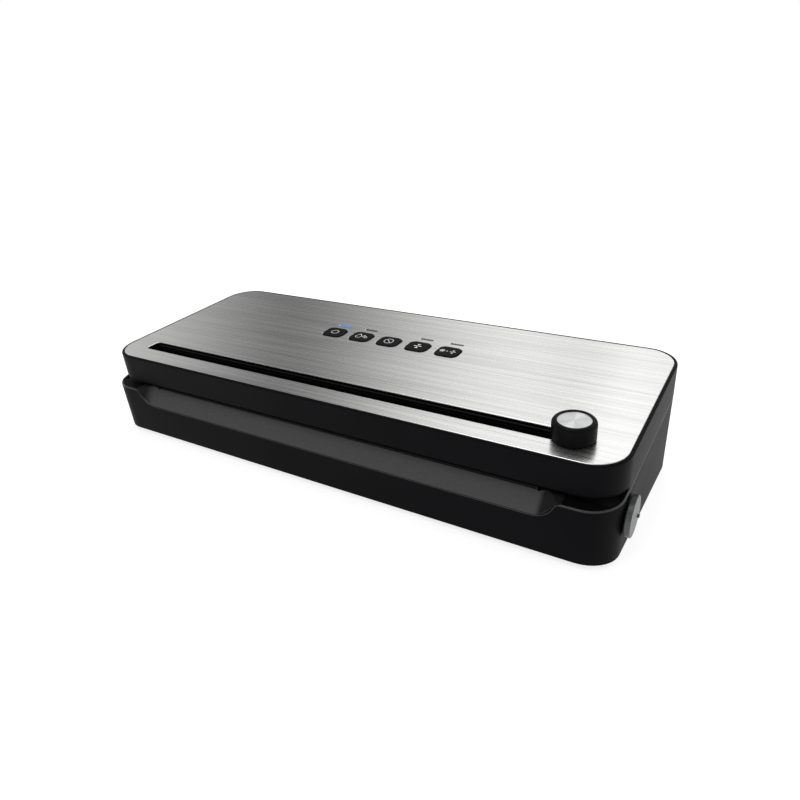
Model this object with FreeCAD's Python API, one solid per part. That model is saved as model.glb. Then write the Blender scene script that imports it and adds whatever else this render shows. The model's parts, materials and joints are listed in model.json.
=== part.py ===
import FreeCAD, Part
import math
import os

from FreeCAD import Vector

# A countertop vacuum sealer. Millimetres.
# The lid and the deck are drawn level with the steel plate: X to the right, Y to the back, Z out of the plate,
# with Z zero on the plate. The whole is then tilted back onto its feet, and the origin is put on the floor below
# the middle of its outline.

# Lid and steel plate
lid_width = 390.0
lid_depth = 154.4
lid_corner = 22.0
lid_wall = 2.5
lid_top_wall = 2.5
lid_edge_round = 1.2
lid_front_drop = 19.8
lid_gap_flat = 16.0
lid_gap_run = 14.0
plate_rim = 1.95
plate_thick = 0.8
plate_fit = 0.1

# Base
tilt = 8.03
parting_drop = 23.3
parting_gap = 0.3
base_forward = 6.8
base_corner = 20.0
base_wall = 2.5
base_draft = 0.48
front_drop = 59.6
base_spare = 6.0
rim_round = 1.0
side_ledge = 2.5
ledge_thick = 3.0
shelf_thick = 2.2
cheek_thick = 2.2
wall_bite = 0.5
cover_thick = 2.5
cover_fit = 0.3

# Hinge along the back
hinge_radius = 3.5
hinge_clear = 0.3
hinge_out = 1.0
hinge_inset = 85.0
knuckle_length = 20.0
outer_knuckle = 10.0
knuckle_side_clear = 0.4
pin_radius = 1.5
pin_clear = 0.05

# Cutter
slot_front_edge = 17.1
slot_width = 12.5
slot_inset = 22.0
slot_corner = 3.0
track_thick = 2.0
track_overlap = 2.0
track_gap = 5.0
rail_width = 1.4
rail_height = 1.6
knob_radius = 12.2
knob_height = 11.6
knob_round = 2.4
knob_foot_round = 0.8
knob_lift = 0.5
disc_radius = 9.2
disc_thick = 0.6
disc_sink = 0.6
slide_clear = 0.3
stem_length = 11.0
stem_socket = 5.0
stem_end_clear = 5.1
foot_length = 26.0
foot_width = 12.0
foot_thick = 2.5
holder_length = 14.0
holder_width = 4.0
blade_thick = 0.6
blade_reach = 2.5
blade_slot = 3.2
blade_seat = 1.0
holder_lift = 0.8
path_end = 2.0

# Buttons and lights
button_count = 5
button_pitch = 24.5
button_width = 17.6
button_depth = 15.2
button_corner = 4.9
button_proud = 0.7
button_round = 0.55
button_row = 19.5
button_clear = 0.25
button_travel = 0.8
button_flange = 1.2
flange_thick = 1.0
plunger_radius = 2.0
plunger_length = 1.6
light_row = 33.6
light_length = 10.0
light_width = 1.8
light_fit = 0.15
light_flange = 1.0

# Control board in the lid
board_drop = 10.5
board_thick = 1.6
board_half_length = 74.0
board_front = 8.0
board_back = 42.0
board_boss_radius = 2.8
board_screw_side = 6.0
board_screw_edge = 4.0
board_screw_length = 5.0
switch_size = 6.0
switch_rest_gap = 0.1
switch_pin_radius = 1.75
switch_pin_height = 0.5

# Lid inner panel and what it carries
panel_drop = 19.5
panel_thick = 3.0
panel_fit = 0.25
panel_boss_radius = 3.5
panel_screw_side = 15.0
panel_screw_front = 53.2
panel_screw_back = 31.2
panel_screw_half = 60.0
panel_screw_edge = 16.0
panel_screw_length = 8.0
gasket_seat = 1.0
rubber_seat = 1.2
seal_gap = 0.3

# Deck
deck_drop = 24.8
deck_thick = 2.5
deck_fit = 0.35
ramp_drop = 35.0
ramp_inset = 28.0
ramp_corner = 14.0
ramp_top_round = 5.0
ramp_fit = 0.2
ramp_lip = 0.4
deck_bury = 1.0
bed_wall = 2.0
deck_screw_side = 9.0
deck_screw_front = 41.2
deck_screw_back = 33.2
deck_screw_length = 9.0
deck_boss_radius = 4.0
deck_boss_height = 14.0
screw_sink = 0.1
groove_width = 4.0
groove_depth = 3.4
groove_wall = 1.8
groove_end = 3.0
trough_inset = 32.0
trough_front = -18.0
trough_back = 10.0
trough_depth = 11.5
trough_wall = 2.5
trough_bend = 13.5
gasket_margin = 2.0
gasket_width = 5.0
gasket_bend = 15.5
lower_gasket_height = 1.7
seal_row = -38.0
seal_width = 8.0
seal_inset = 35.0
seal_depth = 6.0
seal_fit = 0.2
strip_width = 5.0
strip_thick = 0.3
strip_end = 2.0
tape_margin = 1.0
tape_thick = 0.2

# Lock
lock_from_front = 27.5
lock_drop = 39.3
shaft_radius = 3.0
shaft_clear = 0.05
lock_knob_radius = 12.0
lock_knob_thick = 3.3
lock_knob_gap = 1.0
lock_knob_round = 0.5
lock_pip_height = 0.8
lock_pip_width = 2.0
lock_pip_length = 3.0
lock_pip_edge = 1.2
lock_pip_angle = -32.0
shaft_end_gap = 1.0
shaft_over = 14.0
hub_radius = 5.0
hub_clear = 0.3
hub_length = 9.0
hook_inset = 43.7
hook_thick = 2.0
hook_width = 4.2
hook_barb = 4.5
hook_barb_height = 4.7
hook_barb_nose = 1.2
hook_slot_clear = 0.6
hook_swing = 4.2
claw_radius = 5.0
claw_height = 5.0
claw_thick = 6.0
claw_clear = 0.6
bearing_thick = 8.0
bearing_wall = 2.5
bearing_from_hook = 33.3
bearing_shift = 8.0
limit_width = 6.0
limit_length = 20.0
limit_height = 9.0
limit_lever_width = 4.0
limit_lever_length = 14.0
limit_lever_thick = 0.6

# Feet, screws and inside
foot_height = 3.0
foot_radius = 8.0
foot_inset = 22.0
foot_taper = 1.0
foot_back_extra = 6.0
stud_radius = 2.5
stud_clear = 0.15
screw_radius = 1.5
screw_head_radius = 2.8
screw_head = 1.6
screw_hole_clear = 0.1
head_hole_clear = 0.3
cover_boss_radius = 4.0
cover_boss_height = 16.0
cover_boss_gap = 1.0
cover_screw_gap = 24.0
cover_screw_length = 12.0
web_thick = 3.0
vent_count = 7
vent_pitch = 6.0
vent_width = 2.4
vent_length = 14.0
vent_gap = 30.0
motor_radius = 16.0
motor_length = 52.0
motor_lift = 4.0
motor_boss = 3.0
motor_saddle = 6.0
pump_wall_gap = 8.0
pump_corner = 4.0
pump_core_gap = 112.0
pump_length = 40.0
pump_depth = 38.0
pump_height = 36.0
hose_radius = 4.0
hose_bore = 2.5
hose_end_gap = 0.3
hose_lead = 32.0
hose_bow = 14.0
hose_floor_gap = 3.0
nozzle_radius = 4.0
nozzle_height = 6.0
nozzle_inset = 36.0
nozzle_collar = 1.5
nozzle_wall = 1.0
barb_fit = 0.1
barb_length = 4.0
core_length = 58.0
core_depth = 34.0
core_height = 42.0
core_leg = 16.0
core_end_gap = 59.0
coil_bulge = 7.0
coil_fit = 0.3
inlet_width = 24.0
inlet_height = 15.0
inlet_flange = 1.5
inlet_depth = 14.0
inlet_wall = 3.2
inlet_lip = 2.0
inlet_fit = 0.2
inlet_inset = 77.0
inlet_drop = 58.0
prong_radius = 1.2
prong_spacing = 8.6
main_half = 52.0
main_depth = 44.0
main_front_gap = 14.0
main_core_gap = 58.0
standoff_radius = 2.5
standoff_height = 6.0
standoff_inset = 5.0
capacitor_radius = 5.0
capacitor_height = 12.0
relay_length = 18.0
relay_width = 14.0
relay_height = 11.0
part_gap = 6.0
past = 1.0

# Places worked out from the sizes above
lid_half = lid_width / 2
slot_length = lid_width - 2 * slot_inset
ramp_half_width = lid_half - ramp_inset
trough_half_length = lid_half - trough_inset
seal_half_length = lid_half - seal_inset
hook_x = lid_half - hook_inset
hinge_x = lid_half - hinge_inset
lid_front = -lid_depth / 2
lid_back = lid_depth / 2
base_front = lid_front - base_forward
slope = math.tan(math.radians(base_draft))
base_low = -front_drop - (lid_depth + base_forward) * math.tan(math.radians(tilt)) - base_spare
lid_low = parting_gap - parting_drop
lid_roof = -plate_thick - lid_top_wall
hinge_y = lid_back + hinge_out
hinge_z = parting_gap / 2 - parting_drop
slot_y = lid_front + slot_front_edge + slot_width / 2
knob_x = slot_length / 2 - stem_end_clear - stem_length / 2
track_low = lid_roof - track_thick
panel_low = -panel_drop
panel_top = panel_thick - panel_drop
deck_top = -deck_drop
deck_low = -deck_drop - deck_thick
ramp_low = -ramp_drop
ramp_back = base_front + (deck_top - ramp_low)
ramp_foot = base_front + slope * (ramp_drop - parting_drop)
ramp_slope = (deck_top - ramp_low) / (ramp_back - ramp_foot)
deck_back = lid_back - base_wall - deck_fit
lock_y = base_front + lock_from_front
lock_z = -lock_drop
hinge_reach = hinge_radius + hinge_clear
pin_half = knuckle_length / 2 + knuckle_side_clear + outer_knuckle
board_top = -board_drop
mouth_bend = math.acos(1 - (ramp_drop - parting_drop) / (ramp_corner + ramp_top_round))
mouth_flat = ramp_half_width - (ramp_corner + ramp_top_round) * math.sin(mouth_bend)
claw_reach = lock_drop - deck_drop - groove_depth - groove_wall - claw_clear
claw_length = math.sqrt(claw_reach ** 2 - (claw_height / 2) ** 2)
hook_back = lock_y - claw_reach - claw_clear
hook_front = hook_back - hook_width
barb_top = lock_z - claw_height / 2 - claw_clear
tape_top = deck_top + strip_thick + tape_thick
bearing_x = hook_x - bearing_from_hook
bearing_places = (-bearing_x, bearing_shift, bearing_x)
sides = (-1, 1)
panel_rows = (lid_front + panel_screw_front, lid_back - panel_screw_back)
panel_screw_places = [(s * (lid_half - panel_screw_side), y) for s in sides for y in panel_rows]
panel_screw_places += [(s * panel_screw_half, lid_back - panel_screw_edge) for s in sides]
board_rows = (board_front + board_screw_edge, board_back - board_screw_edge)
board_screw_places = [(s * (board_half_length - board_screw_side), y) for s in sides for y in board_rows]
deck_rows = (lid_front + deck_screw_front, lid_back - deck_screw_back)
deck_screw_places = [(s * (lid_half - base_wall - deck_screw_side), y) for s in sides for y in deck_rows]
button_places = [button_pitch * (i - (button_count - 1) / 2) for i in range(button_count)]
light_places = button_places[:2] + button_places[3:]
hook_places = (-hook_x, hook_x)
hinge_places = (-hinge_x, hinge_x)
foot_top = track_low - slide_clear
holder_low = panel_top + holder_lift
blade_top = foot_top - foot_thick - blade_seat
blade_tip = deck_top - blade_reach
flange_top = lid_roof - slide_clear / 3
plunger_low = flange_top - flange_thick - plunger_length
lower_gasket_top = deck_top + lower_gasket_height
nozzle_x = nozzle_inset - trough_half_length
nozzle_y = (trough_front + trough_back) / 2
tray_under = deck_top - trough_depth - trough_wall
shaft_end = lid_half - base_wall - shaft_end_gap
shaft_start = -hook_x - shaft_over
inlet_x = inlet_inset - lid_half

# The lift puts the base's lower front edge at the top of the feet
lower_front = base_front + slope * (front_drop - parting_drop)
lift = foot_height - (lower_front * math.sin(math.radians(tilt)) - front_drop * math.cos(math.radians(tilt)))
floor = foot_height + cover_thick


def table_y(y, z):
    return y * math.cos(math.radians(tilt)) - z * math.sin(math.radians(tilt))


def table_z(y, z):
    return y * math.sin(math.radians(tilt)) + z * math.cos(math.radians(tilt)) + lift


# Places inside the base, which stand level on its floor
motor_y = table_y(lid_back, -parting_drop) - base_wall - pump_depth / 2 - pump_wall_gap
motor_z = floor + motor_lift + motor_radius
core_x = lid_half - core_end_gap - core_length
pump_end = core_x - pump_core_gap
port_x = pump_end - pump_length
main_x = core_x - main_core_gap
main_y0 = table_y(base_front, -front_drop) + main_front_gap
main_y1 = main_y0 + main_depth
main_z = floor + standoff_height
foot_front = table_y(base_front, -front_drop) + foot_inset
foot_back = table_y(lid_back, base_low) - foot_inset - foot_back_extra
foot_places = [(s * (lid_half - foot_inset), y) for s in sides for y in (foot_front, foot_back)]
cover_side = lid_half - base_wall - cover_boss_radius - cover_boss_gap
cover_rows = (foot_front + cover_screw_gap, foot_back - cover_screw_gap)
cover_screw_places = [(s * cover_side, y) for s in sides for y in cover_rows]


def to_table(shape):
    placed = shape.copy()
    placed.rotate(Vector(0, 0, 0), Vector(1, 0, 0), tilt)
    placed.translate(Vector(0, 0, lift))
    return placed


def bar(x0, x1, y0, y1, z0, z1):
    return Part.makeBox(x1 - x0, y1 - y0, z1 - z0, Vector(x0, y0, z0))


def post(radius, x, y, z0, z1):
    return Part.makeCylinder(radius, z1 - z0, Vector(x, y, z0), Vector(0, 0, 1))


def rod(radius, x0, x1, y, z):
    return Part.makeCylinder(radius, x1 - x0, Vector(x0, y, z), Vector(1, 0, 0))


def arc(start, middle, end):
    return Part.Arc(start, middle, end).toShape()


def outline(x_mid, half_x, y0, y1, front_corner, back_corner, z):
    edges = []
    x0 = x_mid - half_x
    x1 = x_mid + half_x
    bend = math.sqrt(0.5)
    corners = (
        (x0 + front_corner, y0 + front_corner, front_corner, -1, -1),
        (x1 - front_corner, y0 + front_corner, front_corner, 1, -1),
        (x1 - back_corner, y1 - back_corner, back_corner, 1, 1),
        (x0 + back_corner, y1 - back_corner, back_corner, -1, 1),
    )
    ends = []
    for number, (cx, cy, r, sx, sy) in enumerate(corners):
        on_x = Vector(cx + sx * r, cy, z)
        on_y = Vector(cx, cy + sy * r, z)
        middle = Vector(cx + sx * r * bend, cy + sy * r * bend, z)
        first, last = (on_x, on_y) if number % 2 == 0 else (on_y, on_x)
        ends.append((first, middle, last))
    for number, (first, middle, last) in enumerate(ends):
        following = ends[(number + 1) % len(ends)][0]
        edges.append(arc(first, middle, last))
        if (following - last).Length > 1e-6:
            edges.append(Part.makeLine(last, following))
    return Part.Wire(edges)


def block(half_x, y0, y1, corner, z0, z1, x_mid=0.0):
    wire = outline(x_mid, half_x, y0, y1, corner, corner, z0)
    return Part.Face(wire).extrude(Vector(0, 0, z1 - z0))


def lid_block(inset, z0, z1):
    return block(lid_half - inset, lid_front + inset, lid_back - inset, lid_corner - inset, z0, z1)


def base_wire(inset, z):
    inner = inset - slope * (z + parting_drop)
    return outline(0.0, lid_half - inner, base_front + inner, lid_back - inner,
                   base_corner - inner, lid_corner - inner, z)


def base_block(inset, z0, z1):
    return Part.makeLoft([base_wire(inset, z0), base_wire(inset, z1)], True, True)


def side_profile(points, x0, x1):
    corners = [Vector(x0, y, z) for y, z in points]
    return Part.Face(Part.makePolygon(corners + corners[:1])).extrude(Vector(x1 - x0, 0, 0))


def front_profile(points, y0, y1):
    corners = [Vector(x, y0, z) for x, z in points]
    return Part.Face(Part.makePolygon(corners + corners[:1])).extrude(Vector(0, y1 - y0, 0))


def fused(shapes):
    return shapes[0].multiFuse(shapes[1:]).removeSplitter()


def edges_at(shape, z, reach=0.01):
    return [e for e in shape.Edges if abs(e.BoundBox.ZMin - z) < reach and abs(e.BoundBox.ZMax - z) < reach]


def screws(places, z_seat, length, up):
    solids = []
    for x, y in places:
        if up:
            head = post(screw_head_radius, x, y, z_seat - screw_head, z_seat)
            shank = post(screw_radius, x, y, z_seat, z_seat + length)
        else:
            head = post(screw_head_radius, x, y, z_seat, z_seat + screw_head)
            shank = post(screw_radius, x, y, z_seat - length, z_seat)
        solids.append(head.fuse(shank))
    return Part.makeCompound(solids)


def plate_openings(z0, z1):
    slot = block(slot_length / 2, slot_y - slot_width / 2, slot_y + slot_width / 2, slot_corner, z0, z1)
    holes = [slot]
    for x in button_places:
        half_y = button_depth / 2 + button_clear
        holes.append(block(button_width / 2 + button_clear, button_row - half_y, button_row + half_y,
                           button_corner + button_clear, z0, z1, x))
    for x in light_places:
        half = light_length / 2 + light_fit
        half_y = light_width / 2 + light_fit
        holes.append(bar(x - half, x + half, light_row - half_y, light_row + half_y, z0, z1))
    return holes


def outer_knuckles():
    start = knuckle_length / 2 + knuckle_side_clear
    spans = [(x - pin_half, x - start) for x in hinge_places]
    return spans + [(x + start, x + pin_half) for x in hinge_places]


def lid_shell():
    outer = lid_block(0.0, lid_low, 0.0)
    outer = outer.makeFillet(lid_edge_round, edges_at(outer, 0.0))
    cavity = lid_block(lid_wall, lid_low - past, lid_roof)
    recess = lid_block(plate_rim, -plate_thick, past)
    flat_end = lid_front + lid_gap_flat
    mouth = side_profile([(lid_front - past, -lid_front_drop), (flat_end, -lid_front_drop),
                          (flat_end + lid_gap_run, lid_low), (flat_end + lid_gap_run, lid_low - past),
                          (lid_front - past, lid_low - past)], -lid_half - past, lid_half + past)
    clearances = [rod(hinge_reach, x0 - knuckle_side_clear, x1 + knuckle_side_clear, hinge_y, hinge_z)
                  for x0, x1 in outer_knuckles()]
    shell = outer.cut([cavity, recess, mouth] + clearances + plate_openings(lid_roof - past, past))
    added = [shell]
    half = knuckle_length / 2
    for x in hinge_places:
        added.append(rod(hinge_radius, x - half, x + half, hinge_y, hinge_z))
        added.append(bar(x - half, x + half, lid_back - lid_wall, hinge_y, hinge_z, hinge_z + hinge_radius))
    for x, y in panel_screw_places:
        added.append(post(panel_boss_radius, x, y, panel_top, lid_roof))
    for x, y in board_screw_places:
        added.append(post(board_boss_radius, x, y, board_top, lid_roof))
    bores = [rod(pin_radius + pin_clear, x - knuckle_length, x + knuckle_length, hinge_y, hinge_z)
             for x in hinge_places]
    bores += [post(screw_radius, x, y, panel_top - past, lid_roof - past) for x, y in panel_screw_places]
    bores += [post(screw_radius, x, y, board_top - past, lid_roof - past) for x, y in board_screw_places]
    return fused(added).cut(bores)


def top_plate():
    sheet = lid_block(plate_rim + plate_fit, -plate_thick, 0.0)
    return sheet.cut(plate_openings(-plate_thick - past, past))


def cutter_track():
    half = slot_length / 2 + track_overlap
    side = slot_width / 2 + track_overlap
    strip = bar(-half, half, slot_y - side, slot_y + side, track_low, lid_roof)
    rail_end = slot_length / 2 - slot_corner
    rail_side = (slot_width / 2 + track_gap / 2) / 2
    solids = [strip]
    for s in sides:
        y = slot_y + s * rail_side
        solids.append(bar(-rail_end, rail_end, y - rail_width / 2, y + rail_width / 2,
                          lid_roof, lid_roof + rail_height))
    gap = bar(-slot_length / 2, slot_length / 2, slot_y - track_gap / 2, slot_y + track_gap / 2,
              track_low - past, lid_roof + past)
    return fused(solids).cut(gap)


def cutter_knob():
    top = knob_height
    floor_z = top - disc_sink - disc_thick
    recess = disc_radius + slide_clear / 2
    body = post(knob_radius, knob_x, slot_y, knob_lift, top)
    body = body.makeFillet(knob_round, edges_at(body, top))
    body = body.makeChamfer(knob_foot_round, edges_at(body, knob_lift))
    half = stem_length / 2 + pin_clear
    side = track_gap / 2 - slide_clear + pin_clear
    socket = bar(knob_x - half, knob_x + half, slot_y - side, slot_y + side, 0.0, knob_lift + stem_socket)
    return body.cut([post(recess, knob_x, slot_y, floor_z, top + past), socket])


def knob_disc():
    low = knob_height - disc_sink - disc_thick
    return post(disc_radius, knob_x, slot_y, low, low + disc_thick)


def cutter_carriage():
    side = track_gap / 2 - slide_clear
    stem = bar(knob_x - stem_length / 2, knob_x + stem_length / 2, slot_y - side, slot_y + side,
               foot_top, knob_lift + stem_socket - pin_clear)
    foot = bar(knob_x - foot_length / 2, knob_x + foot_length / 2, slot_y - foot_width / 2, slot_y + foot_width / 2,
               foot_top - foot_thick, foot_top)
    holder = bar(knob_x - holder_length / 2, knob_x + holder_length / 2, slot_y - holder_width / 2,
                 slot_y + holder_width / 2, holder_low, foot_top - foot_thick)
    half = blade_thick / 2 + pin_clear
    slit = bar(knob_x - holder_length, knob_x + holder_length, slot_y - half, slot_y + half,
               holder_low - past, blade_top)
    return fused([stem, foot, holder]).cut(slit)


def cutter_blade():
    half = holder_length / 2
    shoulder = blade_tip + half
    points = [(knob_x - half, blade_top), (knob_x + half, blade_top), (knob_x + half, shoulder), (knob_x, blade_tip),
              (knob_x - half, shoulder)]
    return front_profile(points, slot_y - blade_thick / 2, slot_y + blade_thick / 2)


def button(x):
    half_y = button_depth / 2
    cap = block(button_width / 2, button_row - half_y, button_row + half_y, button_corner,
                flange_top - flange_thick, button_proud, x)
    cap = cap.makeFillet(button_round, edges_at(cap, button_proud))
    half_y += button_flange
    flange = block(button_width / 2 + button_flange, button_row - half_y, button_row + half_y,
                   button_corner + button_flange, flange_top - flange_thick, flange_top, x)
    plunger = post(plunger_radius, x, button_row, plunger_low, flange_top - flange_thick)
    return fused([cap, flange, plunger])


def tact_switches():
    solids = []
    pin_top = plunger_low - button_travel - switch_rest_gap
    half = switch_size / 2
    for x in button_places:
        body = bar(x - half, x + half, button_row - half, button_row + half, board_top,
                   pin_top - switch_pin_height)
        pin = post(switch_pin_radius, x, button_row, pin_top - switch_pin_height, pin_top)
        solids.append(body.fuse(pin))
    return Part.makeCompound(solids)


def light_bar(x):
    half = light_length / 2
    half_y = light_width / 2
    window = bar(x - half, x + half, light_row - half_y, light_row + half_y, lid_roof - light_flange, 0.0)
    flange = bar(x - half - light_flange, x + half + light_flange, light_row - half_y - light_flange,
                 light_row + half_y + light_flange, lid_roof - light_flange, lid_roof)
    return window.fuse(flange).removeSplitter()


def control_board():
    board_under = board_top - board_thick
    board = bar(-board_half_length, board_half_length, board_front, board_back, board_under, board_top)
    return board.cut([post(screw_radius + screw_hole_clear, x, y, board_under - past, board_top + past)
                      for x, y in board_screw_places])


def gasket_ring(z0, z1):
    margin = gasket_margin + gasket_width
    half = trough_half_length + margin
    bend = gasket_bend + gasket_width
    outer = block(half, trough_front - margin, trough_back + margin, bend, z0, z1)
    inner = block(half - gasket_width, trough_front - gasket_margin, trough_back + gasket_margin,
                  gasket_bend, z0 - past, z1 + past)
    return outer.cut(inner)


def lid_panel():
    sheet = lid_block(lid_wall + panel_fit, panel_low, panel_top)
    half = knob_x + holder_length / 2 + path_end
    slot = bar(-half, half, slot_y - blade_slot / 2, slot_y + blade_slot / 2, panel_low - past, panel_top + past)
    half = seal_half_length + seal_fit
    half_y = seal_width / 2 + seal_fit
    channel = bar(-half, half, seal_row - half_y, seal_row + half_y, panel_low - past, panel_low + rubber_seat)
    cuts = [slot, channel, gasket_ring(panel_low - past, panel_low + gasket_seat)]
    for x, y in panel_screw_places:
        cuts.append(post(screw_head_radius + head_hole_clear, x, y, panel_low - past, panel_low + screw_head))
        cuts.append(post(screw_radius + screw_hole_clear, x, y, panel_low, panel_top + past))
    return sheet.cut(cuts)


def press_rubber():
    half_y = seal_width / 2
    return bar(-seal_half_length, seal_half_length, seal_row - half_y, seal_row + half_y, tape_top + seal_gap,
               panel_low + rubber_seat)


def lid_hooks():
    barb_low = barb_top - hook_barb_height
    nose = hook_back + hook_barb
    points = [(hook_front, panel_low), (hook_back, panel_low), (hook_back, barb_top), (nose, barb_top),
              (nose, barb_top - hook_barb_nose), (hook_back, barb_low), (hook_front, barb_low)]
    hooks = [side_profile(points, x - hook_thick / 2, x + hook_thick / 2) for x in hook_places]
    return Part.makeCompound(hooks)


def ramp_window(inset, y0, y1, z_top, rise=0.0):
    low_r = ramp_corner - inset
    top_r = ramp_top_round + inset
    low_z = ramp_low + ramp_corner
    top_z = -parting_drop - ramp_top_round

    def side(s):
        def on_low(angle):
            return Vector(s * (mouth_flat + low_r * math.sin(angle)), y0, low_z - low_r * math.cos(angle))

        def on_top(angle):
            return Vector(s * (ramp_half_width - top_r * math.sin(angle)), y0, top_z + top_r * math.cos(angle))

        return (on_low(0), on_low(mouth_bend / 2), on_low(mouth_bend), on_top(mouth_bend / 2), on_top(0),
                Vector(s * ramp_half_width, y0, z_top))

    right = side(1)
    left = side(-1)
    edges = [Part.makeLine(left[0], right[0]), Part.makeLine(left[-1], right[-1])]
    for points in (right, left):
        edges.append(arc(points[0], points[1], points[2]))
        edges.append(arc(points[2], points[3], points[4]))
        edges.append(Part.makeLine(points[4], points[5]))
    wire = Part.Wire(Part.__sortEdges__(edges))
    return Part.Face(wire).extrude(Vector(0, y1 - y0, rise))


def lower_deck():
    outer = lid_half
    riser = ramp_back + deck_thick
    groove_half = knob_x + holder_length / 2 + groove_end
    groove_low = deck_top - groove_depth
    groove_side = groove_width / 2 + groove_wall
    seal_low = deck_top - seal_depth
    seal_side = seal_width / 2 + seal_fit
    seal_half = seal_half_length + seal_fit
    tray_low = deck_top - trough_depth
    shaft_side = shaft_radius + bearing_wall
    sheet = bar(-outer, outer, ramp_back + ramp_fit, deck_back, deck_low, deck_top)
    seal_bed = bar(-seal_half - bed_wall, seal_half + bed_wall, seal_row - seal_side - bed_wall,
                   seal_row + seal_side + bed_wall, seal_low - deck_thick, deck_low + deck_bury)
    tray = block(trough_half_length + trough_wall, trough_front - trough_wall, trough_back + trough_wall,
                 trough_bend + trough_wall, tray_low - trough_wall, deck_low + deck_bury)
    groove_bed = bar(-groove_half - bed_wall, groove_half + bed_wall, slot_y - groove_side, slot_y + groove_side,
                     groove_low - groove_wall, deck_low + deck_bury)
    bearings = [bar(x - bearing_thick / 2, x + bearing_thick / 2, lock_y - shaft_side, lock_y + shaft_side,
                    lock_z - shaft_side, deck_low + deck_bury) for x in bearing_places]
    body = fused([sheet, seal_bed, tray, groove_bed] + bearings)
    body = body.common(base_block(base_wall + deck_fit, lock_z - shaft_side - past, 0.0))
    lean = deck_thick * math.sqrt(2)
    ramp = side_profile([(ramp_foot, ramp_low), (ramp_foot, -parting_drop), (ramp_back, -parting_drop),
                         (ramp_back, deck_top), (riser, deck_top), (riser, deck_low - deck_bury),
                         (base_front + lean, ramp_low)], -outer, outer)
    ramp = ramp.common(ramp_window(ramp_fit, base_front - past, riser, 0.0))
    # The mouth's outline is swept up the slope, so that the ramp's ends curve up to the corner shelves
    scoop = ramp_window(ramp_lip, ramp_foot - past, ramp_back + past, 0.0,
                        ramp_slope * (ramp_back - ramp_foot + 2 * past))
    scoop.translate(Vector(0, 0, -ramp_lip - ramp_slope * past))
    body = body.fuse(ramp.cut(scoop))
    cuts = [
        block(trough_half_length, trough_front, trough_back, trough_bend, tray_low, 0.0),
        gasket_ring(deck_top - gasket_seat, 0.0),
        bar(-seal_half, seal_half, seal_row - seal_side, seal_row + seal_side, seal_low, 0.0),
        bar(-groove_half, groove_half, slot_y - groove_width / 2, slot_y + groove_width / 2, groove_low, 0.0),
        rod(shaft_radius + shaft_clear, -outer, outer, lock_y, lock_z),
        post(nozzle_radius + screw_hole_clear, nozzle_x, nozzle_y, tray_under - past, 0.0),
    ]
    half = hook_thick / 2 + hook_slot_clear
    for x in hook_places:
        cuts.append(block(half, hook_front - hook_swing, hook_back + hook_barb + hook_slot_clear, half,
                          base_low, 0.0, x))
    for x, y in deck_screw_places:
        cuts.append(post(screw_head_radius + head_hole_clear, x, y, deck_top - screw_head - screw_sink, 0.0))
        cuts.append(post(screw_radius + screw_hole_clear, x, y, deck_low - past, 0.0))
    return body.cut(cuts).removeSplitter()


def suction_nozzle():
    collar_low = tray_under - nozzle_collar
    stand = post(nozzle_radius, nozzle_x, nozzle_y, tray_under, deck_top - trough_depth + nozzle_height)
    collar = post(nozzle_radius + nozzle_collar, nozzle_x, nozzle_y, collar_low, tray_under)
    barb = post(hose_bore - barb_fit, nozzle_x, nozzle_y, collar_low - barb_length, tray_under)
    bore = post(hose_bore - nozzle_wall, nozzle_x, nozzle_y, collar_low - barb_length - past, 0.0)
    return fused([stand, collar, barb]).cut(bore)


def suction_hose():
    top = tray_under - nozzle_collar - hose_end_gap
    start = to_table(Part.Vertex(nozzle_x, nozzle_y, top)).Point
    down = to_table(Part.Vertex(nozzle_x, nozzle_y, top - hose_lead)).Point - start
    end = Vector(port_x - hose_end_gap, motor_y, motor_z)
    middle = (start + end) / 2 + Vector(-hose_bow, 0, 0)
    middle.z = floor + hose_radius + hose_floor_gap
    curve = Part.BSplineCurve()
    curve.interpolate(Points=[start, middle, end], InitialTangent=down, FinalTangent=Vector(hose_lead, 0, 0))
    path = Part.Wire(curve.toShape())

    def tube(radius):
        ring = Part.Wire(Part.makeCircle(radius, start, down))
        return path.makePipeShell([ring], True, True)

    return tube(hose_radius).cut(tube(hose_bore))


def pump_head():
    half = pump_depth / 2
    body = bar(port_x, pump_end, motor_y - half, motor_y + half, motor_z - pump_height / 2,
               motor_z + pump_height / 2)
    body = body.makeFillet(pump_corner, [e for e in body.Edges if abs(e.tangentAt(e.FirstParameter).x) > 0.9])
    port = rod(hose_bore - barb_fit, port_x - barb_length, port_x + past, motor_y, motor_z)
    return body.fuse(port)


def pump_motor():
    can_end = pump_end + motor_length
    can = rod(motor_radius, pump_end, can_end, motor_y, motor_z)
    boss = rod(motor_radius / 3, can_end, can_end + motor_boss, motor_y, motor_z)
    return can.fuse(boss)


def pump_bracket():
    x0 = pump_end + motor_length / 3
    x1 = pump_end + motor_length * 2 / 3
    half = motor_radius + motor_saddle
    saddle = bar(x0, x1, motor_y - half, motor_y + half, floor, motor_z - motor_radius / 2)
    return saddle.cut(rod(motor_radius + screw_hole_clear, x0 - past, x1 + past, motor_y, motor_z))


def transformer_core():
    half = core_depth / 2
    body = bar(core_x, core_x + core_length, motor_y - half, motor_y + half, floor, floor + core_height)
    window = (core_length - 2 * core_leg) / 2
    yoke = core_leg / 2
    z0 = floor + yoke
    z1 = floor + core_height - yoke
    starts = (core_x + yoke, core_x + core_length - yoke - window)
    return body.cut([bar(x, x + window, motor_y - half - past, motor_y + half + past, z0, z1) for x in starts])


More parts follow.
